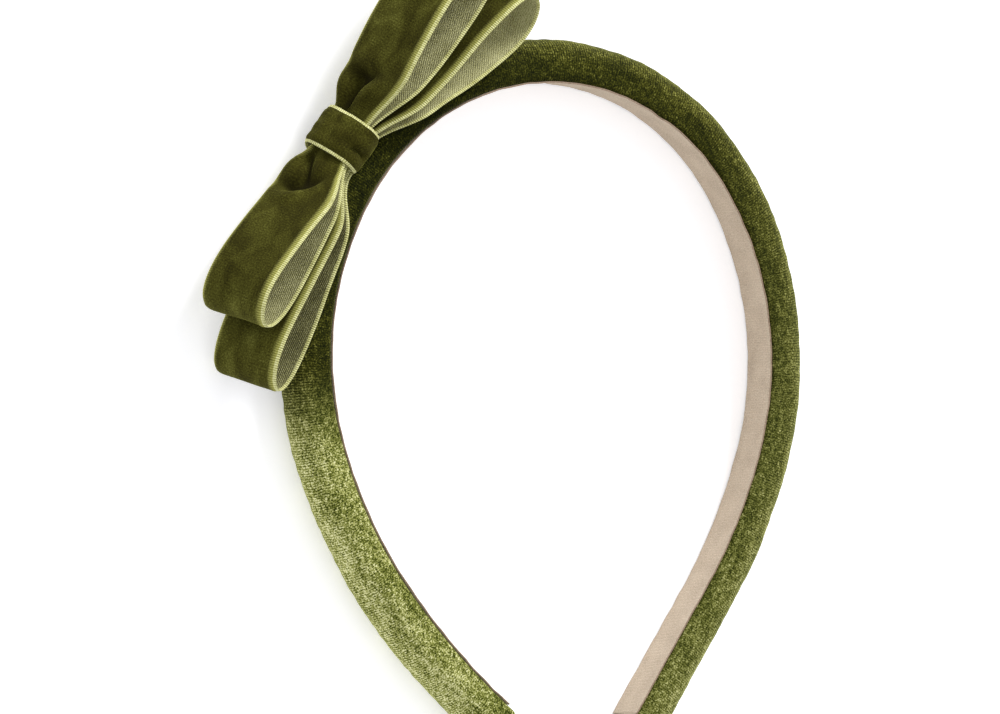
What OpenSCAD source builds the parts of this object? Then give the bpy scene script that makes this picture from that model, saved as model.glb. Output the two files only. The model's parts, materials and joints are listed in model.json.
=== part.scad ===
// Padded velvet headband with a layered ribbon bow at one side.
// The band lies on its back edge: +X is to the right, +Y towards the crown, +Z towards the front edge.
// The origin is the centre of the crown's inner arc, at the height of the back edge.

/* [Band] */
// Inner radius of the crown's round part, mm
crown_r = 49; // [46:0.5:54]
// Width of the band, from back edge to front edge, mm
band_w = 10.8; // [10:0.1:12]
// Thickness of the band, from lining to velvet, mm
band_t = 9.3; // [8.6:0.1:10.2]
// Length by which the folded end stands past the band, mm
tip_len = 3.2; // [3.1:0.1:5]
// Gap in the strips where an arm flexes, mm
flex_gap = 0.3; // [0.2:0.1:0.5]

/* [Layers] */
// Thickness of the lining ribbon, mm
lining_t = 0.5; // [0.4:0.1:0.8]
// Thickness of the velvet cover, mm
cover_t = 0.7; // [0.5:0.1:1]
// Thickness of the spring core, mm
core_t = 1.4; // [1.2:0.1:2]
// Width of the spring core, mm
core_w = 7.6; // [6.5:0.1:8]

/* [Bow] */
// Angle from the crown round to the knot, on the left, degrees
knot_a = 52; // [45:1:54]
// Tilt of the bow towards the front edge, degrees
bow_tilt = 32; // [20:1:40]
// Width of the bow ribbon, mm
ribbon_w = 16; // [14:0.5:16]
// Thickness of the bow ribbon, mm
ribbon_t = 0.8; // [0.6:0.1:1]
// Length of each front loop, from the knot to its fold, mm
front_len = 45; // [40:1:46]
// Length of the lower back loop, from the knot to its fold, mm
back_lower_len = 54; // [48:1:55]
// Length of the upper back loop, from the knot to its fold, mm
back_upper_len = 51; // [48:1:52]
// Width of the strip that wraps the knot, mm
wrap_w = 9.2; // [8:0.1:10]

/* [Hidden] */
$fn = 96;

fit = 0.05;                      // clearance between two layers
bevel = 1.2;                     // bevel of the band's inner corners
lining_inset = 0.2;              // lining stands this far in from each edge of the band
seam_gap = 2.4;                  // gap between the cover's two glued edges, under the lining
round_r = band_w / 2;            // rounding of the band's outer side
round_x = band_t - round_r;      // where that rounding is centred
core_x = lining_t + cover_t + fit;

// The band's inner line is a chain of arcs, from the middle of the crown down to each tip. The heading
// is the angle turned so far. Arcs meet at headings of whole-number right triangles, such as 7-24-25,
// so that every centre and every meeting point is an exact decimal.
HEADING_1 = atan2(527, 336);     // 57.5 degrees, where the crown's round part meets the shoulders
HEADING_2 = atan2(24, -7);       // 106.3, where the shoulders end and the arms begin
LEFT_HEADING_3 = atan2(4, -3);   // 126.9
RIGHT_HEADING_3 = atan2(527, -336);  // 122.5
// Each arc: [radius, heading at its lower end]
LEFT = [[crown_r, HEADING_1], [crown_r + 13, HEADING_2], [crown_r + 45, LEFT_HEADING_3],
        [crown_r + 101, LEFT_HEADING_3 + 13.6]];
RIGHT = [[crown_r, HEADING_1], [crown_r + 17, HEADING_2], [crown_r + 62, RIGHT_HEADING_3]];
right_straight = 32;             // straight end of the right arm
core_short = 3;                  // the core stops this far from the folded end
padding_short = 1.2;             // and the padding this far

// Bow, along its normal from the velvet: wrap, thread, back ribbon, front ribbon, thread, wrap.
waist_w = 9.6;
waist_t = 2.8;
thread_d = 0.4;
wrap_t = 0.9;
back_lift = 0.1 + wrap_t + thread_d + 2 * fit + waist_t / 2;
front_lift = back_lift + waist_t + 2 * fit;
wrap_h = front_lift + waist_t / 2 + thread_d + wrap_t + 2 * fit - 0.1;
knot_y = 1;                      // the knot sits this far below the middle of the ribbons
loop_start = 5.4;                // a loop leaves the knot this far from the knot's middle
waist_len = 13;
waist_r = 0.6;
wrap_r = 2;

// Each loop: [side, lift, droop, sway, length, radius of its fold].
FRONT_LOOPS = [[1, front_lift, -0.5, 4.5, front_len, 4.8], [-1, front_lift, -6, 4, front_len, 4.8]];
BACK_LOOPS = [[1, back_lift, 10.5, 6, back_lower_len, 4.6], [-1, back_lift, 8, 8, back_upper_len, 4.8]];

function outward(heading) = [sin(heading), cos(heading)];
function top_of(arcs, i) = i == 0 ? 0 : arcs[i - 1][1];
function arc_centre(arcs, i) =
    i == 0 ? [0, 0] : arc_centre(arcs, i - 1) + (arcs[i - 1][0] - arcs[i][0]) * outward(top_of(arcs, i));

// ---- Cross-sections: x is the distance out from the lining's face, y is the height from the back edge

module band_outline(inset) {
    x0 = lining_t + inset;
    low = inset;
    high = band_w - inset;
    b = bevel - inset / 2;
    intersection() {
        translate([round_x, round_r]) circle(r = round_r - inset);
        translate([round_x - 1, 0]) square([round_r + 1, band_w]);
    }
    polygon([[x0, low + b], [x0 + b, low], [round_x, low], [round_x, high], [x0 + b, high], [x0, high - b]]);
}

module core_section(clearance = 0) {
    translate([core_x - clearance, (band_w - core_w) / 2 - clearance])
        square([core_t + 2 * clearance, core_w + 2 * clearance]);
}

module padding_section() {
    difference() {
        band_outline(cover_t + fit);
        core_section(fit);
    }
}

module cover_section() {
    difference() {
        band_outline(0);
        band_outline(cover_t);
        translate([lining_t - 0.1, (band_w - seam_gap) / 2]) square([cover_t + 0.4, seam_gap]);
    }
}

module lining_section() {
    translate([0, lining_inset]) square([lining_t - fit, band_w - 2 * lining_inset]);
}

// ---- Sweeps of a section along the band

// Sweeps part of arc i: up from its lower end, or down from its upper end
module up_from_end(arcs, i, angle) {
    translate(arc_centre(arcs, i)) rotate([0, 0, 90 - arcs[i][1]])
        rotate_extrude(angle = angle) translate([arcs[i][0], 0]) children();
}

module down_from_top(arcs, i, angle) {
    translate(arc_centre(arcs, i)) rotate([0, 0, 90 - top_of(arcs, i)]) mirror([0, 1, 0])
        rotate_extrude(angle = angle) translate([arcs[i][0], 0]) children();
}

// The crown's two halves overlap in the middle
module crown_half(arcs) {
    up_from_end(arcs, 0, HEADING_1 + 3) children();
    down_from_top(arcs, 1, HEADING_2 - HEADING_1) children();
}

module along_crown() {
    crown_half(RIGHT) children();
    mirror([1, 0, 0]) crown_half(LEFT) children();
}

// An arm's first arc starts below the flex gap
module first_arm_arc(arcs) {
    up_from_end(arcs, 2, arcs[2][1] - arcs[1][1] - flex_gap / arcs[2][0] * 180 / PI) children();
}

module along_left_arm(short = 0) {
    mirror([1, 0, 0]) {
        first_arm_arc(LEFT) children();
        down_from_top(LEFT, 3, LEFT[3][1] - LEFT[2][1] - short / LEFT[3][0] * 180 / PI) children();
    }
}

module along_right_arm(short = 0) {
    first_arm_arc(RIGHT) children();
    at_heading(RIGHT, 2) rotate([90, 0, 90]) linear_extrude(right_straight - short) children();
}

// Lower end of arc i: x is along the band, y is outward
module at_heading(arcs, i) {
    translate(arc_centre(arcs, i) + arcs[i][0] * outward(arcs[i][1])) rotate([0, 0, -arcs[i][1]]) children();
}

// ---- Folded end of an arm: the band's outline, rounded at both corners

module tip_plan() {
    r = tip_len - 0.1;
    square([tip_len - r, band_t]);
    translate([0, r]) square([tip_len, band_t - 2 * r]);
    for (y = [r, band_t - r])
        translate([tip_len - r, y]) circle(r = r);
}

module tip_fold() {
    intersection() {
        translate([fit, 0, 0]) rotate([90, 0, 90]) linear_extrude(tip_len) band_outline(0);
        linear_extrude(band_w) tip_plan();
    }
}

// ---- Bow: x is out from the velvet, y is down along the band, z is across the ribbon

module at_knot() {
    rotate([0, 0, 90 + knot_a]) translate([crown_r + round_x, 0, round_r])
        rotate([0, -bow_tilt, 0]) translate([round_r, 0, 0]) children();
}

module drop_shape(centre_y, r, point_y) {
    a = acos(r / (centre_y - point_y));
    translate([0, centre_y]) circle(r = r);
    polygon([[0, point_y], [r * sin(a), centre_y - r * cos(a)], [-r * sin(a), centre_y - r * cos(a)]]);
}

module ribbon_loop(loop) {
    r = loop[5];
    start_y = loop_start + loop[0] * knot_y;
    centre_y = loop[4] - r;
    inner_point = centre_y - (r - ribbon_t) * (centre_y - start_y) / r;
    translate([loop[1], 0, 0]) mirror([0, loop[0] < 0 ? 1 : 0, 0])
        rotate([loop[3], 0, 0]) rotate([0, 0, loop[2]])
            translate([0, 0, -ribbon_w / 2]) linear_extrude(ribbon_w) difference() {
                drop_shape(centre_y, r, start_y);
                drop_shape(centre_y, r - ribbon_t, inner_point);
            }
}

module bow_ribbon(loops) {
    at_knot() {
        for (loop = loops)
            ribbon_loop(loop);
    }
    around_knot(-waist_len / 2, waist_len / 2)
        round_rectangle(loops[0][1] - waist_t / 2, loops[0][1] + waist_t / 2, waist_w, waist_r);
}

// A closed band round the knot, low to high along the normal, as a rounded rectangle
module knot_ring(low, high, width, thickness, r) {
    difference() {
        round_rectangle(low, high, width, r);
        round_rectangle(low + thickness, high - thickness, width - 2 * thickness, r - thickness);
    }
}

module round_rectangle(low, high, width, r) {
    translate([low + r, -width / 2]) square([high - low - 2 * r, width]);
    translate([low, -width / 2 + r]) square([high - low, width - 2 * r]);
    for (x = [low + r, high - r], z = [-width / 2 + r, width / 2 - r])
        translate([x, z]) circle(r = r);
}

// Draws a ring of the knot between two places along it
module around_knot(from_y, to_y) {
    at_knot() translate([0, knot_y + to_y, 0]) rotate([90, 0, 0]) linear_extrude(to_y - from_y) children();
}

// ---- Sub-parts

module core_crown() { color("dimgray") along_crown() core_section(); }
module core_left_arm() { color("dimgray") along_left_arm(core_short) core_section(); }
module core_right_arm() { color("dimgray") along_right_arm(core_short) core_section(); }

module padding_crown() { color("ivory") along_crown() padding_section(); }
module padding_left_arm() { color("ivory") along_left_arm(padding_short) padding_section(); }
module padding_right_arm() { color("ivory") along_right_arm(padding_short) padding_section(); }

module cover_crown() { color("olivedrab") along_crown() cover_section(); }
module cover_left_arm() { color("olivedrab") along_left_arm() cover_section(); }
module cover_right_arm() { color("olivedrab") along_right_arm() cover_section(); }

module lining_crown() { color("tan") along_crown() lining_section(); }
module lining_left_arm() { color("tan") along_left_arm() lining_section(); }
module lining_right_arm() { color("tan") along_right_arm() lining_section(); }

module tip_fold_left() { color("olivedrab") mirror([1, 0, 0]) at_heading(LEFT, 3) tip_fold(); }
module tip_fold_right() { color("olivedrab") at_heading(RIGHT, 2) translate([right_straight, 0, 0]) tip_fold(); }

module front_bow_ribbon() { color("darkolivegreen") bow_ribbon(FRONT_LOOPS); }
module back_bow_ribbon() { color("darkolivegreen") bow_ribbon(BACK_LOOPS); }

module knot_wrap() {
    color("darkolivegreen") around_knot(-wrap_w / 2, wrap_w / 2)
        knot_ring(0.1, wrap_h + 0.1, waist_w + 2 * (thread_d + wrap_t + 2 * fit), wrap_t, wrap_r);
}

// Three turns of thread that draw the two ribbons in at the waist
module gathering_thread() {
    color("olive") for (y = [-1.2, 0, 1.2])
        around_knot(y - thread_d / 2, y + thread_d / 2)
            knot_ring(0.1 + wrap_t + fit, wrap_h + 0.1 - wrap_t - fit, waist_w + 2 * (thread_d + fit), thread_d,
                      waist_r + thread_d);
}

// Four stitches that hold the wrap down to the velvet, two along each side
module bow_stitches() {
    depth = round_r - sqrt(round_r * round_r - 9);
    color("olive") at_knot() for (y = [-3, 3], z = [-3, 3])
        translate([-depth, knot_y + y, z]) rotate([0, 90, 0]) cylinder(d = thread_d, h = depth + 0.1);
}

core_crown();
core_left_arm();
core_right_arm();
padding_crown();
padding_left_arm();
padding_right_arm();
cover_crown();
cover_left_arm();
cover_right_arm();
lining_crown();
lining_left_arm();
lining_right_arm();
tip_fold_left();
tip_fold_right();
front_bow_ribbon();
back_bow_ribbon();
knot_wrap();
gathering_thread();
bow_stitches();
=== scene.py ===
"""Looks of a padded velvet headband with a layered ribbon bow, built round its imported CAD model.

Shapes are worked out in millimetres, as in the CAD source, and grid_object() turns them into metres.
A surface's UV coordinates are millimetres too: along the fabric, then across it.
Lengths along the band start at the crown's middle, and those to its left are negative.
"""

import json
import math
from collections import namedtuple

import bpy
import numpy as np
from mathutils import Matrix, Vector

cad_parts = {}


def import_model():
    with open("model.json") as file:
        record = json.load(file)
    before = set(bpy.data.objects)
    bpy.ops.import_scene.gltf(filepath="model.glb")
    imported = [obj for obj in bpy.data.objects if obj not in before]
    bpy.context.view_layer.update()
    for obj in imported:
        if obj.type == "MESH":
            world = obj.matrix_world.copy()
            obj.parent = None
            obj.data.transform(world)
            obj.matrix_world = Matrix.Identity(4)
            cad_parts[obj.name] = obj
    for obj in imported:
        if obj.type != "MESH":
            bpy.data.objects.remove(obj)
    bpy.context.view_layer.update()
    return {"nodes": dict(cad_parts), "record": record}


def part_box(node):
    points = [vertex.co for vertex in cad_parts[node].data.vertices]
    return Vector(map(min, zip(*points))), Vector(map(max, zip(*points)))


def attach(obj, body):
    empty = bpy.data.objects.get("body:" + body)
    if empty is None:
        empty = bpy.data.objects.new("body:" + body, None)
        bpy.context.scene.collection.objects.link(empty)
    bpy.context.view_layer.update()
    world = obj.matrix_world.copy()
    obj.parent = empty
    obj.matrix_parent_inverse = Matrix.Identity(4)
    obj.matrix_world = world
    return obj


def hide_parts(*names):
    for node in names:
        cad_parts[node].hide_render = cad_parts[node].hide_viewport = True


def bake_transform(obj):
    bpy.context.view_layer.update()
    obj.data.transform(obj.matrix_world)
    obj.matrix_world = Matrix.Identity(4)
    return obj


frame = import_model()

MM = 0.001

# ---- Sizes of the band, from the frame

crown_mount = next(m for m in frame["record"]["mounts"] if m["name"] == "crown_arc")
CROWN_R = crown_mount["dims"]["r_mm"]
COVER_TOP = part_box("cover_crown")[1] / MM
BAND_W = round(COVER_TOP.z, 1)  # from back edge to front edge
BAND_T = round(COVER_TOP.y - CROWN_R, 1)  # from lining to velvet
LINING_T = 0.5
COVER_T = 0.7
CORE_T = 1.4
CORE_W = 7.6
TIP = 3.2  # the folded end stands this far past the band
BEVEL = 1.2  # of the band's inner corners
PUCKER_S = 27  # the lining's pucker is this far along the band
COVER_GIRTH = (BAND_W + (math.pi - 2) * BEVEL + 2 * (BAND_T - BAND_W / 2 - LINING_T - BEVEL)
               + math.pi * BAND_W / 2)  # once round the velvet

# ---- Sizes of the bow, as in the CAD source

KNOT_ANGLE = math.radians(52)  # from the crown's middle round to the knot, on the left
BOW_TILT = math.radians(32)  # towards the band's front edge
RIBBON_W = 16
SELVAGE_W = 0.4  # the pale woven edge, on the pile's side
SELVAGE_PITCH = 0.46  # from cord to cord along that edge
LAYER_GAP = 0.7  # each layer's distance from the middle of its ribbon, at the knot
WAIST_W = 8.6  # the ribbons are drawn in to this width at the knot
WRAP_W = 9.2  # width of the strip round the knot
WRAP_H = 8.6  # the knot's top is this far from the velvet
WRAP_DEPTH = 5.7  # the knot's half depth, from its far side to its near side
WRAP_SLOPE = 0.018  # how much lower the knot's top is on its near side, for each mm across
KNOT_Y = 1.0  # the knot sits this far below the middle of the ribbons
KNOT_TO_LOOP = 5.4  # where a loop leaves the knot, from the knot's middle
WAIST_SHIFT = 0.5  # the waist and the knot lie this far to the bow's near side
THREAD_D = 0.4
THREAD_TURNS = -1.2, 0, 1.2  # places of the turns of thread along the bow
FRONT_LIFT = 5.8
BACK_LIFT = 2.9

# Each loop of ribbon:
# - side is 1 below the knot and -1 above it, and lift is the height of its middle at the knot
# - droop and sway turn it, in degrees, and length is from the knot's middle to the fold
# - upper and lower say how far each layer bulges, and upper_rise and lower_rise how late along the loop
# - puff is the height of the gathers next to the knot, where a crease runs out to a trench across the ribbon
# - crease is the crease's place across at its two ends
# - trench is the trench's distance from the knot, its slant and its curve
# - reach is the trench's middle and half its length, both across the ribbon
# - shift is how far the loop leans to its far side just past the knot
Loop = namedtuple(
    "Loop",
    "side lift droop sway length upper upper_rise lower lower_rise puff crease trench reach shift",
    defaults=[(-2.5, -1.0), (9.5, 0, 0), (0, 5), 0],
)
FRONT_LOWER = Loop(
    side=1, lift=FRONT_LIFT, droop=-0.5, sway=4.2, length=45.5,
    upper=16.3, upper_rise=1.7, lower=12, lower_rise=2.0,
    puff=2.6, crease=(-2.9, -0.6), trench=(9.2, -0.70, -0.076), reach=(-1.4, 4.0),
)
FRONT_UPPER = Loop(
    side=-1, lift=FRONT_LIFT, droop=-8, sway=4, length=46,
    upper=15, upper_rise=1.3, lower=12, lower_rise=1.3,
    puff=2.7, crease=(-2.4, -1.8), trench=(10.0, 0.27, 0.05), reach=(-2.2, 3.6),
)
BACK_LOWER = Loop(
    side=1, lift=BACK_LIFT, droop=11, sway=6.0, length=54,
    upper=16, upper_rise=2.0, lower=9, lower_rise=1.7,
    puff=0.4, shift=1.7,
)
BACK_UPPER = Loop(
    side=-1, lift=BACK_LIFT, droop=6.5, sway=8, length=49,
    upper=13, upper_rise=2.6, lower=20, lower_rise=1.8,
    puff=0.4,
)
LOOP_TURNS = 47.0, 155.0  # about where a ribbon turns back at its two loops' ends, along it
KNOT_START, KNOT_END = 95.0, 115.0  # about where it runs through the knot to its upper loop


def smooth(t):
    """0 below 0, 1 above 1, and a smooth step between."""
    t = np.clip(t, 0, 1)
    return t * t * (3 - 2 * t)


def hump(t):
    """A smooth bell of width 1 about 0."""
    return np.exp(-t * t)


def unevenness(along, across, size, seed):
    """Smooth waves of about that size, between -1 and 1, the same ones each run."""
    rng = np.random.default_rng(seed)
    total = 0
    for _ in range(8):
        angle, shift = rng.uniform(0, 2 * math.pi, 2)
        rate = 2 * math.pi / size * rng.uniform(0.6, 1.5)
        total = total + np.sin(rate * (along * math.cos(angle) + across * math.sin(angle)) + shift)
    return total / 4


# ---- The band's inner line: arcs down each side, as in the CAD source

HEADING_1 = math.atan2(527, 336)
HEADING_2 = math.atan2(24, -7)
LEFT_HEADING_3 = math.atan2(4, -3)
RIGHT_HEADING_3 = math.atan2(527, -336)


class Side:
    """One side of the band's inner line, from the crown's middle down, with +x outward: arcs, each with its
    radius and the heading at its end, then a straight end."""

    def __init__(self, arcs, straight):
        self.arcs = []  # start length, start heading, radius, centre
        centre, heading, length = np.zeros(2), 0.0, 0.0
        for i, (radius, end) in enumerate(arcs):
            if i:
                centre = centre + (arcs[i - 1][0] - radius) * self.outward(heading)
            self.arcs.append((length, heading, radius, centre))
            length += radius * (end - heading)
            heading = end
        self.arc_length, self.heading = length, heading
        self.arc_end = centre + radius * self.outward(heading)
        self.length = length + straight

    @staticmethod
    def outward(heading):
        """The direction away from the head, where the line has that heading."""
        return np.stack([np.sin(heading), np.cos(heading)], -1)

    @staticmethod
    def onward(heading):
        """The direction down the line."""
        return np.stack([np.cos(heading), -np.sin(heading)], -1)

    def at(self, s):
        """Points and outward directions at the lengths s."""
        s = np.asarray(s, float)
        heading = np.full(s.shape, self.heading)
        point = self.arc_end + (s - self.arc_length)[..., None] * self.onward(heading)
        for start, first, radius, centre in reversed(self.arcs):
            turned = first + (s - start) / radius
            here = (s < self.arc_length) & ((s >= start) | (start == 0))
            here &= ~self.after(s, start)
            heading = np.where(here, turned, heading)
            point = np.where(here[..., None], centre + radius * self.outward(turned), point)
        return point, self.outward(heading)

    def after(self, s, start):
        """Whether s is past the arc that starts there."""
        later = [a[0] for a in self.arcs if a[0] > start]
        return s >= (later[0] if later else self.arc_length)


LEFT = Side([(CROWN_R, HEADING_1), (CROWN_R + 13, HEADING_2), (CROWN_R + 45, LEFT_HEADING_3),
             (CROWN_R + 101, LEFT_HEADING_3 + math.radians(13.6))], 0)
RIGHT = Side([(CROWN_R, HEADING_1), (CROWN_R + 17, HEADING_2), (CROWN_R + 62, RIGHT_HEADING_3)], 32)
KNOT_S = -CROWN_R * KNOT_ANGLE  # the knot's place along the band


def inner_line(s):
    """Points and outward directions of the band's inner line at the lengths s."""
    s = np.asarray(s, float)
    flip = np.array([-1.0, 1.0])
    (right, right_out), (left, left_out) = RIGHT.at(s), LEFT.at(-s)
    is_left = (s < 0)[..., None]
    return np.where(is_left, left * flip, right), np.where(is_left, left_out * flip, right_out)


def on_band(s, out, height):
    """Points at lengths s, that far out from the inner line, at that height."""
    s, out, height = np.broadcast_arrays(s, out, height)
    point, outward = inner_line(s)
    return np.concatenate([point + out[..., None] * outward, height[..., None]], -1)


# ---- Meshes from grids of points

def grid_object(name, points, along, across, close_rows=False, close_columns=True, cap_end=False):
    """A mesh of quads from a grid of points in mm. along and across are its UV coordinates in mm, with one
    more number than there are rows or columns where the grid closes on itself. A cap is one face over the
    last row."""
    rows, columns = points.shape[:2]
    i, j = np.meshgrid(
        np.arange(rows if close_rows else rows - 1),
        np.arange(columns if close_columns else columns - 1),
        indexing="ij",
    )
    i, j = i.ravel(), j.ravel()
    corner_i = np.stack([i, i, i + 1, i + 1], 1)
    corner_j = np.stack([j, j + 1, j + 1, j], 1)
    faces = ((corner_i % rows) * columns + corner_j % columns).tolist()
    uv = np.stack([np.asarray(along)[corner_i], np.asarray(across)[corner_j]], -1).reshape(-1, 2)
    if cap_end:
        faces.append([(rows - 1) * columns + k for k in range(columns)])
        uv = np.concatenate([uv, np.tile([along[rows - 1], across[0]], (columns, 1))])
    mesh = bpy.data.meshes.new(name)
    mesh.from_pydata((points.reshape(-1, 3) * MM).tolist(), [], faces)
    layer = mesh.uv_layers.new(name="fabric_mm")
    layer.data.foreach_set("uv", uv.astype(np.float32).ravel())
    mesh.polygons.foreach_set("use_smooth", np.ones(len(faces), bool))
    mesh.update()
    obj = bpy.data.objects.new(name, mesh)
    bpy.context.scene.collection.objects.link(obj)
    obj["quad_columns"] = columns if close_columns else columns - 1
    return obj


def face_columns(obj):
    """The column of each quad of a grid_object, in order."""
    return np.arange(len(obj.data.polygons)) % obj["quad_columns"]


def paint(obj, materials, indices=None):
    """Gives an object its materials, and each face the one at its index."""
    for material in materials:
        obj.data.materials.append(material)
    if indices is not None:
        obj.data.polygons.foreach_set("material_index", np.asarray(indices, np.int32))


def lengths_along(points, closed=False):
    """The length run so far at each point of a row of points."""
    if closed:
        points = np.concatenate([points, points[:1]])
    steps = np.linalg.norm(np.diff(points, axis=0), axis=1)
    return np.concatenate([[0], np.cumsum(steps)])


# ---- Materials

class Shader:
    """A material with a Principled shader, and short ways to add nodes to it."""

    def __init__(self, name, **constants):
        self.material = bpy.data.materials.new(name)
        self.material.use_nodes = True
        self.tree = self.material.node_tree
        self.surface = self.tree.nodes["Principled BSDF"]
        for socket, value in constants.items():
            self.surface.inputs[socket.replace("_", " ")].default_value = value
        self.uv = self.add("UVMap", uv_map="fabric_mm").outputs[0]
        split = self.add("SeparateXYZ", {0: self.uv})
        self.along, self.across = split.outputs[0], split.outputs[1]

    def add(self, kind, inputs=None, **settings):
        """A new node with those settings. Each input is a socket to link from, or a constant."""
        node = self.tree.nodes.new("ShaderNode" + kind)
        for name, value in settings.items():
            setattr(node, name, value)
        for socket, value in (inputs or {}).items():
            self.put(node.inputs[socket], value)
        return node

    def put(self, socket, value):
        """Links a socket to another one, or gives it a constant."""
        if isinstance(value, bpy.types.NodeSocket):
            self.tree.links.new(value, socket)
        else:
            socket.default_value = value

    def calc(self, operation, a, b=0.0, c=0.0):
        """One step of arithmetic."""
        return self.add("Math", {0: a, 1: b, 2: c}, operation=operation).outputs[0]

    def total(self, *terms):
        """The sum of (value, weight) terms."""
        result = 0.0
        for value, weight in terms:
            result = self.calc("MULTIPLY_ADD", value, weight, result)
        return result

    def stretched(self, along, across):
        """The fabric's coordinates, multiplied along and across."""
        return self.add("VectorMath", {0: self.uv, 1: (along, across, 1)}, operation="MULTIPLY").outputs[0]

    def distance_from(self, value, place):
        """How far a value is from a place, either way."""
        return self.calc("ABSOLUTE", self.calc("SUBTRACT", value, place))

    def fade(self, value, start, end, first, last):
        """Goes smoothly from first to last while the value goes from start to end."""
        ends = {0: value, 1: start, 2: end, 3: first, 4: last}
        return self.add("MapRange", ends, interpolation_type="SMOOTHSTEP").outputs[0]

    def noise(self, size, detail=2.0, roughness=0.5, where=None, distortion=0.0):
        """Noise with features of about that many mm."""
        inputs = {
            "Vector": self.uv if where is None else where,
            "Scale": 1 / size,
            "Detail": detail,
            "Roughness": roughness,
            "Distortion": distortion,
        }
        return self.add("TexNoise", inputs).outputs[0]

    def wave(self, value, pitch):
        """A wave between 0 and 1 along a coordinate, with that pitch in mm."""
        phase = self.calc("MULTIPLY", value, 2 * math.pi / pitch)
        return self.calc("MULTIPLY_ADD", self.calc("SINE", phase), 0.5, 0.5)

    def ramp(self, value, *stops):
        """Colours at places along 0 to 1."""
        node = self.add("ValToRGB", {0: value})
        elements = node.color_ramp.elements
        while len(elements) < len(stops):
            elements.new(0.5)
        for element, (place, colour) in zip(elements, stops):
            element.position, element.color = place, (*colour, 1)
        return node.outputs[0]

    def mix(self, share, a, b):
        """The colour a where the share is 0, and b where it is 1."""
        node = self.add("Mix", {0: share}, data_type="RGBA")
        self.put(node.inputs[6], a if isinstance(a, bpy.types.NodeSocket) else (*a, 1))
        self.put(node.inputs[7], b if isinstance(b, bpy.types.NodeSocket) else (*b, 1))
        return node.outputs[2]

    def finish(self, colour, height=None, depth=0.1):
        """Links the colour and a bump of that depth in mm."""
        self.put(self.surface.inputs["Base Color"], colour)
        if height is not None:
            bump = self.add("Bump", {"Height": height, "Distance": depth * MM, "Strength": 1.0})
            self.put(self.surface.inputs["Normal"], bump.outputs[0])
        return self.material


def cover_velvet():
    """Crushed stretch velvet: flecks of pile that catch the light, crushed streaks, and fine ribs across. Its
    colour has
    painted sheen: darker on the crown and lighter down both arms, the left one most, for how the light falls
    on them."""
    m = Shader("cover_velvet", Roughness=0.8, Specular_IOR_Level=0.06, Sheen_Weight=0.4, Sheen_Roughness=0.3,
               Sheen_Tint=(0.78, 0.83, 0.24, 1))
    flecks = m.noise(0.34, detail=1.5, roughness=0.6, where=m.stretched(1.25, 0.95), distortion=0.5)
    clumps = m.noise(0.9, detail=2, roughness=0.6, distortion=0.8)
    streaks = m.noise(1.0, detail=3, roughness=0.6, where=m.stretched(0.11, 0.32), distortion=1.0)
    ribs = m.wave(m.total((m.along, 1), (m.noise(2.0), 0.6)), 0.5)
    texture = m.total((flecks, 2.5), (clumps, 1.5), (streaks, 1.0), (1.0, -2.5))
    # painted sheen: along the band the colour goes from the shaded ramp to the lit one, and the texture's
    # contrast grows with it
    left_painted_sheen = m.fade(m.along, -107.0, -86.0, 1.0, 0.0)
    right_painted_sheen = m.fade(m.along, 25.0, 165.0, 0.0, 0.47)
    painted_sheen = m.total((left_painted_sheen, 1), (right_painted_sheen, 1))
    # the ribs show most on the outer side, which is also painted lighter: a painted highlight
    outer = m.fade(m.distance_from(m.across, COVER_GIRTH / 2), 1.0, 11.0, 1.0, 0.0)
    ribs_here = m.calc("MULTIPLY", m.calc("SUBTRACT", ribs, 0.5), m.calc("MULTIPLY_ADD", outer, 0.30, 0.08))
    # under the bow the pile is in its shade
    by_bow = m.calc("MULTIPLY", m.calc("ADD", m.along, 40.0), 1 / 42.0)
    shaded = m.calc("EXPONENT", m.calc("MULTIPLY", m.calc("MULTIPLY", by_bow, by_bow), -1.0))
    strength = m.calc("MULTIPLY_ADD", painted_sheen, 0.45, 0.60)
    texture = m.calc("MULTIPLY", texture, strength)
    level = m.total((texture, 1), (ribs_here, 1), (outer, 0.20), (shaded, -0.17), (1.0, 0.43))
    # the dark ramp is the velvet's colour painted in shade, the bright ramp its colour painted in sheen
    dark = m.ramp(
        level,
        (0, (0.003, 0.0045, 0.0002)),
        (0.38, (0.019, 0.021, 0.0010)),
        (0.6, (0.054, 0.054, 0.0050)),
        (0.82, (0.135, 0.135, 0.024)),
        (1, (0.31, 0.30, 0.08)),
    )
    bright = m.ramp(
        level,
        (0, (0.030, 0.040, 0.003)),
        (0.3, (0.110, 0.125, 0.016)),
        (0.55, (0.265, 0.28, 0.065)),
        (0.8, (0.49, 0.49, 0.18)),
        (1, (0.77, 0.76, 0.41)),
    )
    height = m.total((flecks, 0.8), (clumps, 0.5), (ribs, 0.3))
    return m.finish(m.mix(painted_sheen, dark, bright), height, depth=0.2)


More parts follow.
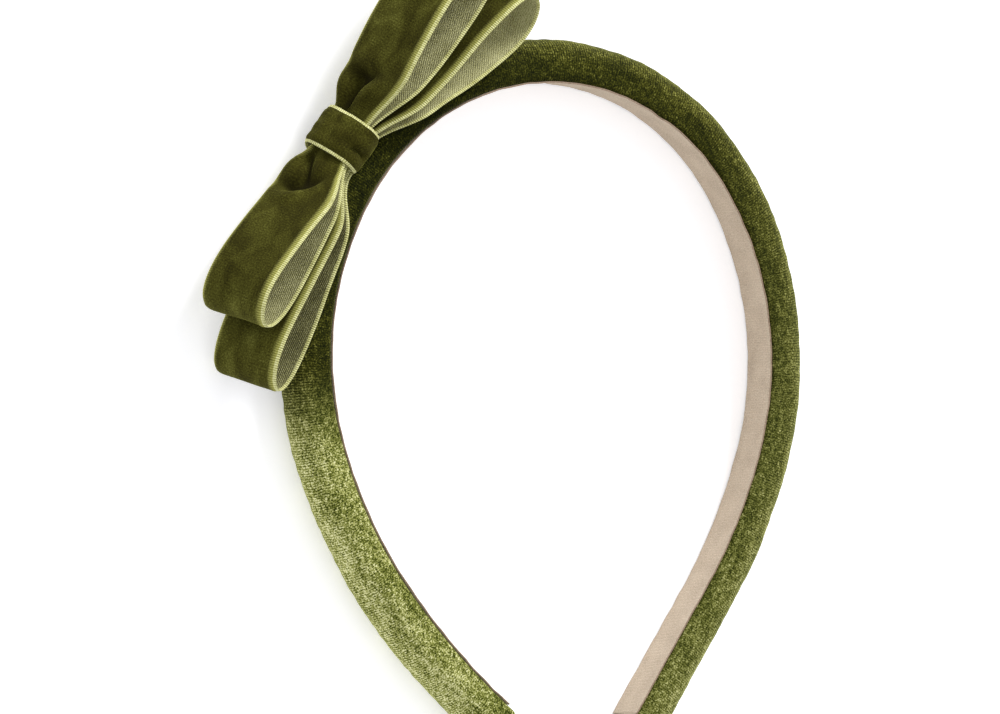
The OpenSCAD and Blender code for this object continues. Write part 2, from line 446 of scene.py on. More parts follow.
def ribbon_velvet():
    """Dense ribbon pile with brushed patches, with painted shade down in the folds and in the hollows before
    the trenches. Towards the woven edges it thins over a paler ground with a row of stitches."""
    m = Shader("ribbon_velvet", Roughness=0.85, Specular_IOR_Level=0.05, Sheen_Weight=0.35,
               Sheen_Roughness=0.25, Sheen_Tint=(0.72, 0.72, 0.14, 1))
    grain = m.noise(0.34, detail=2, roughness=0.65)
    rows = m.wave(m.along, 0.62)
    brushed = m.noise(6.0, detail=2.5, roughness=0.5, where=m.stretched(0.8, 1.2), distortion=0.6)
    # painted highlight: the pile is painted lighter where a loop turns back at its end
    from_turn = m.calc("MINIMUM", *[m.distance_from(m.along, place) for place in LOOP_TURNS])
    turn = m.fade(from_turn, 2.0, 18.0, 0.09, 0.0)
    level = m.total((grain, 0.95), (rows, 0.05), (brushed, 0.75), (turn, 1.0), (1.0, -0.34))
    pile = m.ramp(
        level,
        (0.2, (0.010, 0.009, 0.0008)),
        (0.5, (0.032, 0.029, 0.0030)),
        (0.72, (0.066, 0.064, 0.009)),
        (0.95, (0.14, 0.14, 0.028)),
    )
    thinning = m.total((m.calc("ABSOLUTE", m.across), 1), (grain, 0.9))
    edge = m.fade(thinning, RIBBON_W / 2 - 1.5, RIBBON_W / 2 + 0.2, 0.0, 1.0)
    stitches = m.wave(m.total((m.along, 1), (grain, 0.15)), SELVAGE_PITCH)
    ground = m.ramp(stitches, (0.1, (0.20, 0.195, 0.040)), (0.9, (0.46, 0.45, 0.13)))
    # painted shade: towards near black where the fold attribute says a point lies in a crease or a hollow
    painted_fold_shade = m.add("Attribute", attribute_name="fold").outputs["Fac"]
    colour = m.mix(m.calc("MULTIPLY", painted_fold_shade, 0.88), m.mix(edge, pile, ground), (0.010, 0.008, 0.002))
    return m.finish(colour, height=m.total((grain, 0.8), (rows, 0.1), (brushed, 0.6)), depth=0.09)


def selvage_satin():
    """The ribbon's woven edge: pale, with a fine cord across it that fades into the pile."""
    m = Shader("selvage_satin", Roughness=0.45, Specular_IOR_Level=0.35, Sheen_Weight=0.2,
               Sheen_Roughness=0.4, Sheen_Tint=(0.95, 0.95, 0.6, 1))
    cords = m.wave(m.total((m.along, 1), (m.noise(1.2), 0.25)), SELVAGE_PITCH)
    threads = m.noise(0.35, detail=2, roughness=0.6)
    soft = m.noise(4, detail=2)
    level = m.total((cords, 0.38), (threads, 0.75), (soft, 0.5), (1.0, -0.33))
    colour = m.ramp(level, (0.15, (0.19, 0.18, 0.04)), (0.5, (0.56, 0.55, 0.20)), (0.85, (0.88, 0.87, 0.50)))
    return m.finish(colour, height=m.total((cords, 0.8), (threads, 0.4)), depth=0.12)


def woven_back(name, lower_painted_light, upper_painted_light):
    """The back of a ribbon: a fine twill in grey olive. The painted-light arguments say how much lighter than
    usual the weave is painted in the lower and in the upper loop, for the light it catches there."""
    m = Shader(name, Roughness=0.55, Specular_IOR_Level=0.3, Sheen_Weight=0.2, Sheen_Roughness=0.5,
               Sheen_Tint=(0.9, 0.9, 0.6, 1))
    warp = m.wave(m.total((m.along, 1), (m.across, 0.9), (m.noise(1.5), 0.3)), 0.52)
    weft = m.wave(m.total((m.across, 1), (m.noise(0.9), 0.3)), 0.4)
    threads = m.noise(0.32, detail=1.5, roughness=0.6)
    soft = m.noise(4, detail=2)
    # painted light: lighter or darker from the lower loop to the upper one
    loop_painted_light = m.fade(m.along, KNOT_START, KNOT_END, lower_painted_light, upper_painted_light)
    level = m.total((warp, 0.40), (weft, 0.22), (threads, 1.3), (soft, 0.5), (loop_painted_light, 1.0), (1.0, -0.74))
    colour = m.ramp(
        level,
        (0.05, (0.040, 0.036, 0.008)),
        (0.45, (0.19, 0.18, 0.060)),
        (0.95, (0.60, 0.58, 0.30)),
    )
    return m.finish(colour, height=m.total((warp, 0.7), (weft, 0.4), (threads, 0.4)), depth=0.09)


def lining_weave():
    """A matt beige ribbon in a plain weave."""
    m = Shader("lining_weave", Roughness=0.85, Specular_IOR_Level=0.15, Sheen_Weight=0.15,
               Sheen_Roughness=0.5, Sheen_Tint=(1.0, 0.95, 0.88, 1))
    warp = m.wave(m.total((m.across, 1), (m.noise(1.2), 0.35)), 0.36)
    weft = m.wave(m.total((m.along, 1), (m.noise(0.7), 0.5)), 0.36)
    threads = m.noise(0.36, detail=2, roughness=0.7)
    soft = m.noise(5, detail=3)
    level = m.total((m.calc("MULTIPLY", warp, weft), 0.25), (threads, 0.95), (soft, 0.35), (1.0, -0.3))
    colour = m.ramp(
        level,
        (0.1, (0.32, 0.243, 0.172)),
        (0.5, (0.567, 0.462, 0.343)),
        (0.9, (0.77, 0.665, 0.54)),
    )
    return m.finish(colour, height=m.total((warp, 0.5), (weft, 0.5), (threads, 0.7)), depth=0.07)


def lining_edge():
    """The lining's cut edge, sealed and darker."""
    m = Shader("lining_edge", Roughness=0.7, Specular_IOR_Level=0.2)
    threads = m.noise(0.4, detail=2, roughness=0.6)
    colour = m.ramp(threads, (0.3, (0.20, 0.135, 0.09)), (0.7, (0.36, 0.265, 0.19)))
    return m.finish(colour, height=threads, depth=0.05)


def foam():
    """Open-cell padding."""
    m = Shader("foam", Roughness=0.95, Specular_IOR_Level=0.1)
    cells = m.noise(0.5, detail=3, roughness=0.7)
    colour = m.ramp(cells, (0.3, (0.62, 0.58, 0.46)), (0.7, (0.85, 0.82, 0.72)))
    return m.finish(colour, height=cells, depth=0.2)


def spring_plastic():
    """A moulded strip with faint flow lines."""
    m = Shader("spring_plastic", Roughness=0.5, Specular_IOR_Level=0.5)
    flow = m.noise(3, detail=3, where=m.stretched(0.15, 1))
    colour = m.ramp(flow, (0.3, (0.010, 0.010, 0.011)), (0.7, (0.022, 0.022, 0.024)))
    return m.finish(colour, height=flow, depth=0.03)


def sewing_thread():
    """Twisted polyester thread. The stitches are a CAD node, with no UV map, so the twist follows their
    place."""
    m = Shader("sewing_thread", Roughness=0.5, Specular_IOR_Level=0.5, Sheen_Weight=0.2)
    place = m.add("TexCoord").outputs["Object"]
    mm = m.add("VectorMath", {0: place, 1: (1000, 1000, 1000)}, operation="MULTIPLY").outputs[0]
    axes = m.add("SeparateXYZ", {0: mm})
    twist = m.wave(m.total((axes.outputs[0], 1), (axes.outputs[1], 0.8), (axes.outputs[2], 1.3)), 0.35)
    fibre = m.noise(0.2, detail=2, where=mm)
    level = m.total((twist, 0.5), (fibre, 0.5))
    colour = m.ramp(level, (0.2, (0.05, 0.052, 0.010)), (0.8, (0.16, 0.165, 0.045)))
    return m.finish(colour, height=twist, depth=0.08)


COVER_VELVET = cover_velvet()
RIBBON_VELVET = ribbon_velvet()
SELVAGE = selvage_satin()
# two copies of one weave, lit and shaded differently in their loops by painted light
FRONT_BACK = woven_back("front_ribbon_back", 0.02, 0.07)
REAR_BACK = woven_back("rear_ribbon_back", -0.12, 0.22)
LINING = lining_weave()
LINING_EDGE = lining_edge()
FOAM = foam()
PLASTIC = spring_plastic()
THREAD = sewing_thread()

# ---- Band: velvet cover, foam, spring core and lining, each in two halves that meet under the knot

def rounded_section(inset=0.0, count=64):
    """The band's outline under the lining as (out, height) points, evenly spaced from the middle of its inner
    side, back edge first, and the run of its points."""
    r = BAND_W / 2
    mid = BAND_T - r
    near, b = LINING_T + inset, BEVEL
    arc = np.linspace(-math.pi / 2, math.pi / 2, 60)
    quarter = np.linspace(0, math.pi / 2, 12)
    low = np.stack([near + b - b * np.cos(quarter), inset + b - b * np.sin(quarter)], 1)
    outer = np.stack([mid + (r - inset) * np.cos(arc), r + (r - inset) * np.sin(arc)], 1)
    high = low[::-1] * (1, -1) + (0, BAND_W)
    outline = np.concatenate([[(near, r)], low, outer, high, [(near, r)]])
    run = lengths_along(outline)
    even = np.linspace(0, run[-1], count + 1)
    return np.stack([np.interp(even, run, outline[:, k]) for k in (0, 1)], 1)[:-1], even


def half_lengths(side, spacing, end=0.0):
    """Places along one half of the band, from the knot's middle to that far past its end."""
    stop = (-LEFT.length - end) if side == "left" else (RIGHT.length + end)
    return np.linspace(KNOT_S, stop, int(abs(stop - KNOT_S) / spacing) + 1)


def finish_half(obj, nodes):
    """Bakes a half of the band's placement into its mesh, and hides the CAD parts that it stands for."""
    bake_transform(obj)
    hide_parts(*nodes)


def tip_rings(rings=14):
    """Rings over a folded end, as (distance past the band, scale out, scale up). Its corners are rounded, and
    the last rings close its flat end."""
    half_t, half_w = BAND_T / 2, BAND_W / 2
    round_t, round_w = 3.1, 2.6  # radii of the corners
    made = []
    for k in range(1, rings + 1):
        left = TIP * (1 - math.sin(k / rings * math.pi / 2))  # what is left to the end
        by_t = half_t - round_t + math.sqrt(max(round_t**2 - max(round_t - left, 0) ** 2, 0))
        by_w = half_w - round_w + math.sqrt(max(round_w**2 - max(round_w - left, 0) ** 2, 0))
        made.append((TIP - left, by_t / half_t, by_w / half_w))
    last = made[-1]
    for share in (0.75, 0.5, 0.25, 0.06):
        made.append((TIP + 0.12 * (1 - share), last[1] * share, last[2] * share))
    return made


def velvet_cover(side):
    """The velvet, swept along the band with the slight unevenness of stretched fabric, and folded in at the
    end."""
    section, across = rounded_section()
    s = half_lengths(side, 0.55)
    sign = -1 if side == "left" else 1
    out = np.tile(section[:, 0], (len(s), 1))
    height = np.tile(section[:, 1], (len(s), 1))
    middle = np.array([BAND_T / 2 + 0.3, BAND_W / 2])
    place = s.tolist()
    for past, scale_out, scale_up in tip_rings():
        place.append(s[-1] + sign * past)
        out = np.vstack([out, middle[0] + (section[:, 0] - middle[0]) * scale_out])
        height = np.vstack([height, middle[1] + (section[:, 1] - middle[1]) * scale_up])
    place = np.array(place)[:, None]
    run = np.linspace(0, 1, len(section), endpoint=False) * across[-1]
    # unevenness: none of it under the lining, and little where the end folds in
    free = smooth((out - LINING_T - 0.6) / 1.6)
    end = smooth((abs(abs(place) - abs(s[-1])) + 0.6) / 3)
    lumps = 0.10 * unevenness(place, run, 16, 1) + 0.05 * unevenness(place, run, 5, 2)
    creases = 0.05 * unevenness(place * 2.2, run * 0.5, 7, 3)
    tuck = -0.28 * hump((run - 0.5 * across[-1] - 1.2) / 0.8) * smooth((abs(place) - abs(s[-1]) + 5) / 5)
    wrinkles = 0.24 * unevenness(place, run * 2.6, 26, 7) * smooth((-place - 95) / 15)
    pushed = free * (lumps + creases + wrinkles) * end + free * tuck - 0.06 * free
    direction = np.stack([out - middle[0], height - middle[1]], -1)
    direction /= np.linalg.norm(direction, axis=-1, keepdims=True) + 1e-9
    out, height = out + pushed * direction[..., 0], height + pushed * direction[..., 1]
    height = np.clip(height, 0.02, None)
    points = on_band(place, out, height)
    obj = grid_object(f"velvet_cover_{side}", points, place[:, 0], across, cap_end=True)
    paint(obj, [COVER_VELVET])
    finish_half(obj, [f"cover_{side}_arm", f"tip_fold_{side}", "cover_crown"])


def foam_half(side):
    """The foam, just inside the velvet."""
    section, across = rounded_section(COVER_T + 0.12, 40)
    s = half_lengths(side, 1.5, end=-1.2)
    points = on_band(s[:, None], section[:, 0], section[:, 1])
    obj = grid_object(f"foam_{side}", points, s, across, cap_end=True)
    paint(obj, [FOAM])
    finish_half(obj, [f"padding_{side}_arm", "padding_crown"])


def strip_section(out, thickness, low, high, radius):
    """A flat strip's outline with rounded edges, and the run of its points."""
    points = []
    corners = (
        (out + radius, low + radius, math.pi),
        (out + thickness - radius, low + radius, 1.5 * math.pi),
        (out + thickness - radius, high - radius, 0),
        (out + radius, high - radius, math.pi / 2),
    )
    for centre_out, centre_up, first in corners:
        for a in np.linspace(first, first + math.pi / 2, 4):
            points.append((centre_out + radius * math.cos(a), centre_up + radius * math.sin(a)))
        if centre_up < (low + high) / 2 and centre_out > out + thickness / 2:
            points += [(out + thickness, h) for h in np.linspace(low, high, 12)[1:-1]]
    points += [(out, h) for h in np.linspace(high, low, 12)[1:-1]]
    points = np.array(points)
    return points, lengths_along(points, closed=True)


def spring_core_half(side):
    """The spring strip, behind the lining and the velvet's turned-in edges."""
    low = (BAND_W - CORE_W) / 2
    section, across = strip_section(LINING_T + COVER_T + 0.17, CORE_T, low, BAND_W - low, radius=0.4)
    s = half_lengths(side, 1.5, end=-3)
    points = on_band(s[:, None], section[:, 0], section[:, 1])
    obj = grid_object(f"spring_core_{side}", points, s, across, cap_end=True)
    paint(obj, [PLASTIC])
    finish_half(obj, [f"core_{side}_arm", "core_crown"])


def lining_half(side):
    """The beige ribbon glued to the inner side. Its edges waver a little, and it puckers once beside the
    crown's middle."""
    inset, edge_w = 0.35, 0.19
    width = BAND_W - 2 * inset
    section, across = strip_section(0.14, LINING_T - 0.19, inset, BAND_W - inset, radius=0.12)
    s = half_lengths(side, 0.8, end=-1.2)
    place = s[:, None]
    out, height = np.broadcast_arrays(section[:, 0], section[:, 1] + 0 * place)
    from_middle = (height - BAND_W / 2) / (width / 2)
    waver = 0.16 * unevenness(place, 0 * height, 9, 5) * abs(from_middle) ** 3 * np.sign(from_middle)
    pucker = 0.45 * hump((place - PUCKER_S) / 1.6) * smooth((from_middle - 0.2) / 0.8)
    bulge = 0.10 * hump((place - PUCKER_S) / 2) * smooth(from_middle)
    ripple = 0.06 * unevenness(place, height, 5, 6)
    height = np.clip(height + waver - pucker, 0.1, BAND_W - 0.1)
    out = out - ripple * smooth(abs(from_middle) * 2 - 0.2) - bulge
    obj = grid_object(f"lining_ribbon_{side}", on_band(place, out, height), s, across, cap_end=True)
    is_edge = (section[:, 1] < inset + edge_w) | (section[:, 1] > BAND_W - inset - edge_w)
    both = is_edge & np.roll(is_edge, -1)
    columns = np.minimum(face_columns(obj), len(both) - 1)
    paint(obj, [LINING, LINING_EDGE], both[columns].astype(int))
    finish_half(obj, [f"lining_{side}_arm", "lining_crown"])


for half in ("left", "right"):
    velvet_cover(half)
    foam_half(half)
    spring_core_half(half)
    lining_half(half)

# ---- Bow. In its own frame x is out from the velvet, y is down along the band and z is across the ribbon.

def from_bow(points):
    """Points of the bow's frame in the row frame."""
    tilt = np.array(Matrix.Rotation(-BOW_TILT, 3, "Y"))
    turn = np.array(Matrix.Rotation(math.pi / 2 + KNOT_ANGLE, 3, "Z"))
    rounding = BAND_W / 2
    lifted = (points + (rounding, 0, 0)) @ tilt.T
    return (lifted + (CROWN_R + BAND_T - rounding, 0, rounding)) @ turn.T


def turned(points, loop, share):
    """Points of a loop, turned by that share of its droop and sway, and set on its side of the knot."""
    droop, sway = math.radians(loop.droop) * share, math.radians(loop.sway) * share
    x, y, z = points[..., 0], points[..., 1], points[..., 2]
    x, y = x * np.cos(droop) - y * np.sin(droop), x * np.sin(droop) + y * np.cos(droop)
    y, z = y * np.cos(sway) - z * np.sin(sway), y * np.sin(sway) + z * np.cos(sway)
    return np.stack([x + loop.lift, loop.side * y, z], -1)


def rolled_edge(across, turn=36, start=0.62):
    """How a ribbon's width lies where its far edge rolls inward: the place across and the depth of each
    point, in mm, for places from -1 to 1. The roll reaches that many degrees at the edge."""
    fine = np.linspace(1, -1, 400)
    slope = np.radians(turn) * smooth((-fine - start) / (1.05 - start))
    step = RIBBON_W / 2 * (fine[0] - fine[1])
    z = RIBBON_W / 2 - np.concatenate([[0], np.cumsum(np.cos(slope[1:]) * step)])
    depth = np.concatenate([[0], np.cumsum(np.sin(slope[1:]) * step)])
    return np.interp(across, fine[::-1], z[::-1]), np.interp(across, fine[::-1], depth[::-1])


def loop_line(loop, s):
    """Height and distance along of a loop's middle line: s runs from 1 (upper layer, at the knot) through 0
    (fold) to -1 (lower layer)."""
    start = KNOT_TO_LOOP + loop.side * KNOT_Y
    away = 1 - s**2
    bulge = np.where(s > 0, loop.upper * away**loop.upper_rise, loop.lower * away**loop.lower_rise)
    return (bulge + LAYER_GAP) * s, start + (loop.length - start) * away


def gathers(loop, past, z):
    """The upper layer's gathers, that far past the knot and at z across, in mm: their height over its middle
    line, and how much painted shade each point gets in the crease and in the hollow before the trench, from 0
    to 1."""
    leaving = smooth((past + 0.8) / 2.2)
    place, slant, curve = loop.trench
    middle, reach = loop.reach
    behind = past - (place + slant * z + curve * z * z)  # distance past the trench
    # the crease, a puff of ribbon on its far side, and a flap on its near side
    crease_at = loop.crease[0] + (loop.crease[1] - loop.crease[0]) * smooth(past / place)
    crease = hump((z - crease_at) / (0.75 + 0.07 * past)) * (1 - smooth((behind + 1.2) / 1.8)) * leaving
    far_puff = hump((z - crease_at + 3.6) / 2.6) * hump((past - 6.5) / 4.5) * leaving
    flap = hump((z - crease_at - 2.7) / 2.2) * hump((behind + 3.8) / 3.2) * leaving
    # the trench, steeper behind, the lip behind it, and the painted shade of the hollow before it, which only
    # darkens the colour
    along_trench = hump((z - middle) / reach)
    trench = hump(behind / np.where(behind < 0, 2.3, 0.9)) * along_trench
    lip = hump((behind - 2.3) / 1.7) * along_trench
    hollow = hump((behind + 0.9) / 1.6) * along_trench
    height = 0.40 * far_puff + 0.45 * flap - 1.15 * crease - 1.3 * trench + 0.3 * lip
    return loop.puff * height, np.maximum(crease, hollow) * smooth((past + 0.5) / 3)


def at_waist(points):
    """Points of the bow ribbons, shifted across and lower on the near side next to the knot."""
    x, y, z = points[..., 0], points[..., 1], points[..., 2]
    share = 1 - smooth((abs(y - KNOT_Y) - WRAP_W / 2) / 9)
    return np.stack([x * (1 - WRAP_SLOPE * z * share), y, z - WAIST_SHIFT * share], -1)


def loop_layer(loop, s, across):
    """The ribbon's middle surface over a loop, for places s along it and across from -1 to 1 between its
    edges, and how much painted fold shade each point gets."""
    fine = 1e-4
    (x, y), (x1, y1), (x0, y0) = (loop_line(loop, np.clip(s + d, -1, 1)) for d in (0, -fine, fine))
    onward = np.stack([x1 - x0, y1 - y0], 1)
    onward /= np.linalg.norm(onward, axis=1, keepdims=True)
    normal_x, normal_y = onward[:, 1:], -onward[:, :1]  # outward from the loop
    s, x, y, c = s[:, None], x[:, None], y[:, None], across[None, :]
    past = y - (WRAP_W / 2 + loop.side * KNOT_Y)
    flat_z, depth = rolled_edge(across)
    drawn_in, full = WAIST_W / RIBBON_W, 1.035  # the pile stands a little past the ribbon's edges
    opening = 14 - 5 * smooth(-c * 1.5) * smooth(s / 0.25)  # mm in which the ribbon opens to its full width
    narrow = drawn_in + (full - drawn_in) * smooth((past + 1.0) / opening)
    pressed = smooth(past / 5)
    z = flat_z * narrow - loop.shift * hump((past - 5.5) / 6.5)
    height, fold = gathers(loop, past, z)
    height = height * smooth(s / 0.25)
    height = np.where(s > 0, np.maximum(height, -0.1 - x), height)  # not down into the lower layer
    fold = fold * smooth(s / 0.25) * min(loop.puff, 1)
    pleats = 0.30 * np.cos(8.5 * c + 1.2 * loop.side) * np.exp(-np.maximum(past, 0) / 6)
    height = height + pleats * smooth((past + 0.6) / 2) * smooth((abs(s) - 0.3) / 0.4)
    waves = unevenness(y, c * 8 + 9 * s, 17, 11 + int(loop.length) + loop.side)
    height = height + 0.22 * waves * smooth(past / 8)
    height = height - depth * (0.35 + 0.65 * pressed)
    height = height + 0.35 * smooth((c - 0.7) / 0.3) * smooth(s + 0.5) * pressed  # the near edge lifts
    share = smooth(y / KNOT_TO_LOOP) + 0 * c
    points = at_waist(turned(np.stack([x + normal_x * height, y + normal_y * height, z], -1), loop, share))
    return points, fold


def waist_layer(lower, upper, sign, across, rows=9):
    """The rows of a layer inside the knot, from the lower loop to the upper one."""
    y = np.linspace(KNOT_Y + KNOT_TO_LOOP, KNOT_Y - KNOT_TO_LOOP, rows + 2)[1:-1, None]
    flat_z, depth = rolled_edge(across)
    x = sign * (LAYER_GAP - depth * 0.2) + 0 * y
    z = flat_z[None, :] * WAIST_W / RIBBON_W + 0 * y
    local = np.stack([x, abs(y) + 0 * x, z], -1)
    share = smooth(abs(y) / KNOT_TO_LOOP) + 0 * x
    return at_waist(np.where((y > 0)[..., None], turned(local, lower, share), turned(local, upper, share)))


def clear_of_band(points, gap=0.75):
    """Points of the row frame, moved out of the band where they are in it or nearer to it than the gap."""
    line, outward = inner_line(np.arange(-LEFT.length, 60, 0.5))  # the left side, and the crown past the bow
    flat = points.reshape(-1, 3)
    nearest = ((flat[:, None, :2] - line[None]) ** 2).sum(-1).argmin(1)
    out = ((flat[:, :2] - line[nearest]) * outward[nearest]).sum(-1)
    radius = BAND_W / 2
    away = np.stack([np.maximum(out - (BAND_T - radius), 0), flat[:, 2] - radius], 1)
    distance = np.linalg.norm(away, axis=1, keepdims=True) + 1e-9
    push = away / distance * np.maximum(radius + gap - distance, 0) * (out > 0)[:, None]
    moved = flat + np.concatenate([push[:, :1] * outward[nearest], push[:, 1:]], 1)
    moved[:, 2] = np.maximum(moved[:, 2], gap / 2)
    return moved.reshape(points.shape)


def relax(points, passes):
    """Evens out a closed grid of points along its rows."""
    for _ in range(passes):
        points = points * 0.5 + (np.roll(points, 1, 0) + np.roll(points, -1, 0)) * 0.25
    return points


def places_across(count):
    """Places across a ribbon from -1 to 1, closer together towards its edges."""
    return np.sin(np.linspace(-1, 1, count) * math.pi / 2 * 0.86) / math.sin(math.pi / 2 * 0.86)


def strip_object(name, middle, across_mm, back, pile, ground, selvage_w, back_selvage_w):
    """A closed strip of ribbon with thickness, from the grid of its middle surface in the row frame: pile
    outside, weave inside."""
    run = lengths_along(middle[:, middle.shape[1] // 2], closed=True)
    lengthwise = np.roll(middle, -1, 0) - np.roll(middle, 1, 0)
    crosswise = np.gradient(middle, axis=1)
    normal = np.cross(lengthwise, crosswise)
    normal /= np.linalg.norm(normal, axis=-1, keepdims=True) + 1e-12
    if normal[0, middle.shape[1] // 2] @ from_bow(np.array([[1.0, 0, 0], [0, 0, 0]])).T @ (1, -1) < 0:
        normal = -normal  # the first row is on the side away from the band
    half = abs(across_mm).max()
    from_edge = half - abs(across_mm)
    bead = 0.10 * hump((from_edge - 0.5 * selvage_w) / 0.5) - 0.18 * hump(from_edge / 0.25)
    over = ground + pile * smooth((from_edge - selvage_w + 0.1) / 1.0) + bead
    outer = middle + normal * over[None, :, None]
    inner = middle - normal * (ground - 0.08 * hump(from_edge / 0.25))[None, :, None]
    at_edges = crosswise[:, [0, -1]]
    edge_step = at_edges / (np.linalg.norm(at_edges, axis=-1, keepdims=True) + 1e-12)
    rim = (middle + normal * 0.03)[:, [0, -1]] + edge_step * (np.array([-1, 1]) * ground)[None, :, None]
    points = np.concatenate([rim[:, :1], outer, rim[:, 1:], inner[:, ::-1]], 1)
    widths = np.concatenate([[-half - 0.1], across_mm, [half + 0.1], across_mm[::-1], [-half - 0.1]])
    obj = grid_object(name, points, run, widths, close_rows=True)
    columns = face_columns(obj)
    centre = (abs(widths[:-1] + widths[1:]) / 2)[columns]
    is_front = (columns >= 1) & (columns < len(across_mm))
    is_back = columns >= len(across_mm) + 2
    index = np.ones(len(columns), int)
    index[is_front & (centre <= half - selvage_w)] = 0
    index[is_back & (centre <= half - back_selvage_w)] = 2
    paint(obj, [RIBBON_VELVET, SELVAGE, back], index)
    return obj, run[-1]


def bow_ribbon(name, lower, upper, back, node):
    """One ribbon: both its loops and the two layers through the knot, as a closed strip. Its fold attribute
    holds the painted shade of its creases and hollows, from 0 to 1."""
    across = places_across(45)
    s = np.linspace(1, -1, 260)
    lower_points, lower_fold_shade = loop_layer(lower, s, across)
    upper_points, upper_fold_shade = loop_layer(upper, -s, across)
    under = waist_layer(lower, upper, -1, across)
    over = waist_layer(lower, upper, 1, across)[::-1]
    middle = np.concatenate([lower_points, under, upper_points, over])
    fold = np.concatenate([lower_fold_shade, 0 * under[..., 0], upper_fold_shade, 0 * over[..., 0]])
    middle = relax(clear_of_band(from_bow(relax(middle, 2))), 2)
    obj, length = strip_object(name, middle, across * RIBBON_W / 2, back, pile=0.40, ground=0.24,
                               selvage_w=SELVAGE_W, back_selvage_w=0.45)
    ring = np.concatenate([fold[:, :1], fold, fold[:, -1:], 0 * fold], 1)
    attribute = obj.data.attributes.new("fold", "FLOAT", "POINT")
    attribute.data.foreach_set("value", ring.ravel().astype(np.float32))
    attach(obj, "crown")
    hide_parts(node)


def knot_surface(t, y, inset=0.0):
    """The surface that the strip round the knot follows, at the angles t round it and y along the bow: a
    barrel, higher over the gathers on its far side and pinched where it turns under on its near side. The
    inset is inward."""
    half_z = WRAP_DEPTH - inset
    half_x = WRAP_H / 2 - 0.3 - inset
    squareness = 2 / 3.0
    side, up = np.sin(t), np.cos(t)
    z = half_z * np.sign(side) * abs(side) ** squareness + 0 * y
    x = WRAP_H / 2 + half_x * np.sign(up) * abs(up) ** squareness + 0 * y
    top = smooth((up + 0.1) / 0.7)
    x = x * (1 - WRAP_SLOPE * z * smooth(x / WRAP_H))
    flare = 0.20 * (abs(y) / (WRAP_W / 2)) ** 4 * top
    barrel = 0.40 * top * np.cos(side * 1.4) * (1 - (y / WRAP_W * 1.6) ** 2)
    dent = 0.35 * hump((y + 1.2 - 0.5 * z) / 1.3) * hump((z - 3.2) / 1.8) * top
    pinch = 1.5 * hump((y - 1.0 + 0.6 * (z - half_z)) / 1.0) * smooth((side - 0.6) / 0.3)
    pinch = pinch * smooth((up + 0.5) / 0.5)
    folds = 0.10 * np.cos(y * 2.2 + 1.5 * side) * top + 0.14 * unevenness(z * 1.2 + 20 * up, y, 7, 31)
    z = z - pinch + 0.25 * side * (1 - (y / WRAP_W * 2) ** 2) * (1 - top) - WAIST_SHIFT
    return np.stack([x + flare + barrel + folds - dent, KNOT_Y + y + 0.45 * side * up + 0 * x, z], -1)


def knot_strip():
    """The strip round the knot."""
    across_mm = places_across(33) * WRAP_W / 2
    t = np.linspace(0, 2 * math.pi, 150, endpoint=False)[:, None]
    middle = from_bow(relax(knot_surface(t, across_mm[None, :]), 3))
    obj, _ = strip_object("knot_strip", middle, across_mm, FRONT_BACK, pile=0.36, ground=0.24,
                          selvage_w=0.45, back_selvage_w=0.4)
    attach(obj, "crown")
    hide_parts("knot_wrap")


def gathering_thread():
    """The turns of thread round the bow's waist, under the strip."""
    t = np.linspace(0, 2 * math.pi, 90, endpoint=False)
    round_it = np.linspace(0, 2 * math.pi, 8, endpoint=False)
    for number, y in enumerate(THREAD_TURNS, 1):
        line = knot_surface(t[:, None], np.array([[y]]), inset=0.7)[:, 0]
        inward = np.array([WRAP_H / 2, 0, -WAIST_SHIFT]) - line * (1, 0, 1)
        inward /= np.linalg.norm(inward, axis=1, keepdims=True)
        ring = np.cos(round_it)[None, :, None] * inward[:, None]
        ring = ring + np.sin(round_it)[None, :, None] * (0, 1, 0)
        points = from_bow(line[:, None] + ring * THREAD_D / 2)
        obj = grid_object(f"gathering_turn_{number}", points, lengths_along(line, closed=True),
                          np.arange(9) * THREAD_D * math.pi / 8, close_rows=True)
        paint(obj, [THREAD])
        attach(obj, "crown")
        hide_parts("gathering_thread")


knot_strip()
gathering_thread()
bow_ribbon("front_bow", FRONT_LOWER, FRONT_UPPER, FRONT_BACK, "front_bow_ribbon")
bow_ribbon("back_bow", BACK_LOWER, BACK_UPPER, REAR_BACK, "back_bow_ribbon")

stitches = frame["nodes"]["bow_stitches"]
stitches.data.materials.clear()
stitches.data.materials.append(THREAD)

# ---- Floor, light and camera

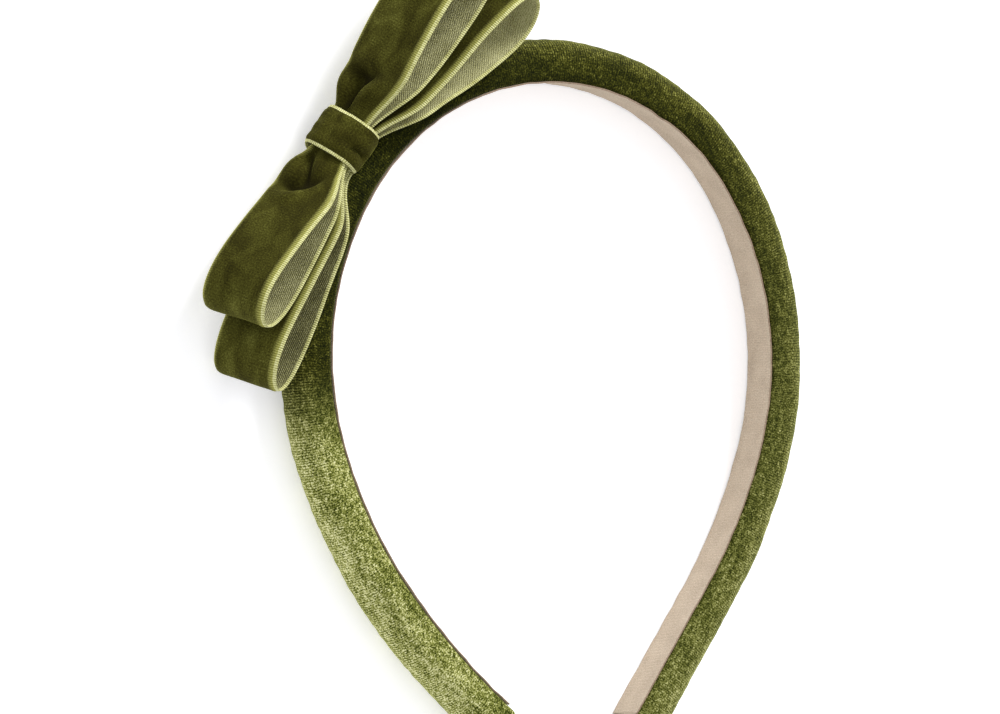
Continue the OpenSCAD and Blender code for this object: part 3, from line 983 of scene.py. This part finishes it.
def pale_floor():
    """A white table that glows a little, so that shadows on it stay faint."""
    m = Shader("pale_floor", Roughness=0.9, Specular_IOR_Level=0.1)
    mottle = m.noise(60, detail=2)
    m.surface.inputs["Emission Color"].default_value = (1, 1, 1, 1)
    m.surface.inputs["Emission Strength"].default_value = 0.37
    return m.finish(m.ramp(mottle, (0, (0.93, 0.92, 0.95)), (1, (0.96, 0.95, 0.98))))


def floor():
    """The table, just under the band and far larger than the picture."""
    half_size, below = 4000.0, 0.03
    line = np.linspace(-half_size, half_size, 9)
    points = np.stack([*np.meshgrid(line, line, indexing="ij"), np.full((9, 9), -below)], -1)
    obj = grid_object("floor", points, line, line, close_columns=False)
    if obj.data.polygons[0].normal.z < 0:
        obj.data.flip_normals()
    paint(obj, [pale_floor()])


def area_light(name, place, size, power):
    """A soft round light that faces the origin. Its place and size are in metres."""
    light = bpy.data.lights.new(name, "AREA")
    light.shape = "DISK"
    light.size = size
    light.energy = power
    obj = bpy.data.objects.new(name, light)
    obj.location = place
    obj.rotation_euler = (-Vector(place)).to_track_quat("-Z", "Y").to_euler()
    bpy.context.scene.collection.objects.link(obj)


def world(strength):
    """Even, slightly cool light from all round."""
    scene_world = bpy.data.worlds.new("soft_box")
    scene_world.use_nodes = True
    background = scene_world.node_tree.nodes["Background"]
    background.inputs["Color"].default_value = (0.97, 0.985, 1, 1)
    background.inputs["Strength"].default_value = strength
    bpy.context.scene.world = scene_world


def camera():
    """A long lens, to the left of straight above the band."""
    azimuth, elevation = math.radians(28.0), math.radians(0.8)
    distance, view_width, sensor = 3.333, 0.208, 36.0
    towards = Vector((-math.sin(azimuth) * math.cos(elevation), math.sin(elevation),
                      math.cos(azimuth) * math.cos(elevation)))
    right = Vector((0, 1, 0)).cross(towards).normalized()
    up = towards.cross(right)
    aim = right * -0.00596 + up * -0.00784  # the middle of the picture
    data = bpy.data.cameras.new("camera")
    data.sensor_width = sensor
    data.lens = sensor * distance / view_width
    data.clip_start, data.clip_end = 0.1, 20
    obj = bpy.data.objects.new("camera", data)
    turn = Matrix((right, up, towards)).transposed().to_4x4()
    obj.matrix_world = Matrix.Translation(aim + towards * distance) @ turn
    bpy.context.scene.collection.objects.link(obj)
    bpy.context.scene.camera = obj


floor()
world(0.84)
area_light("key", (0.55, 1.1, 0.8), 0.5, 18)
camera()
bpy.context.scene.view_settings.view_transform = "Standard"
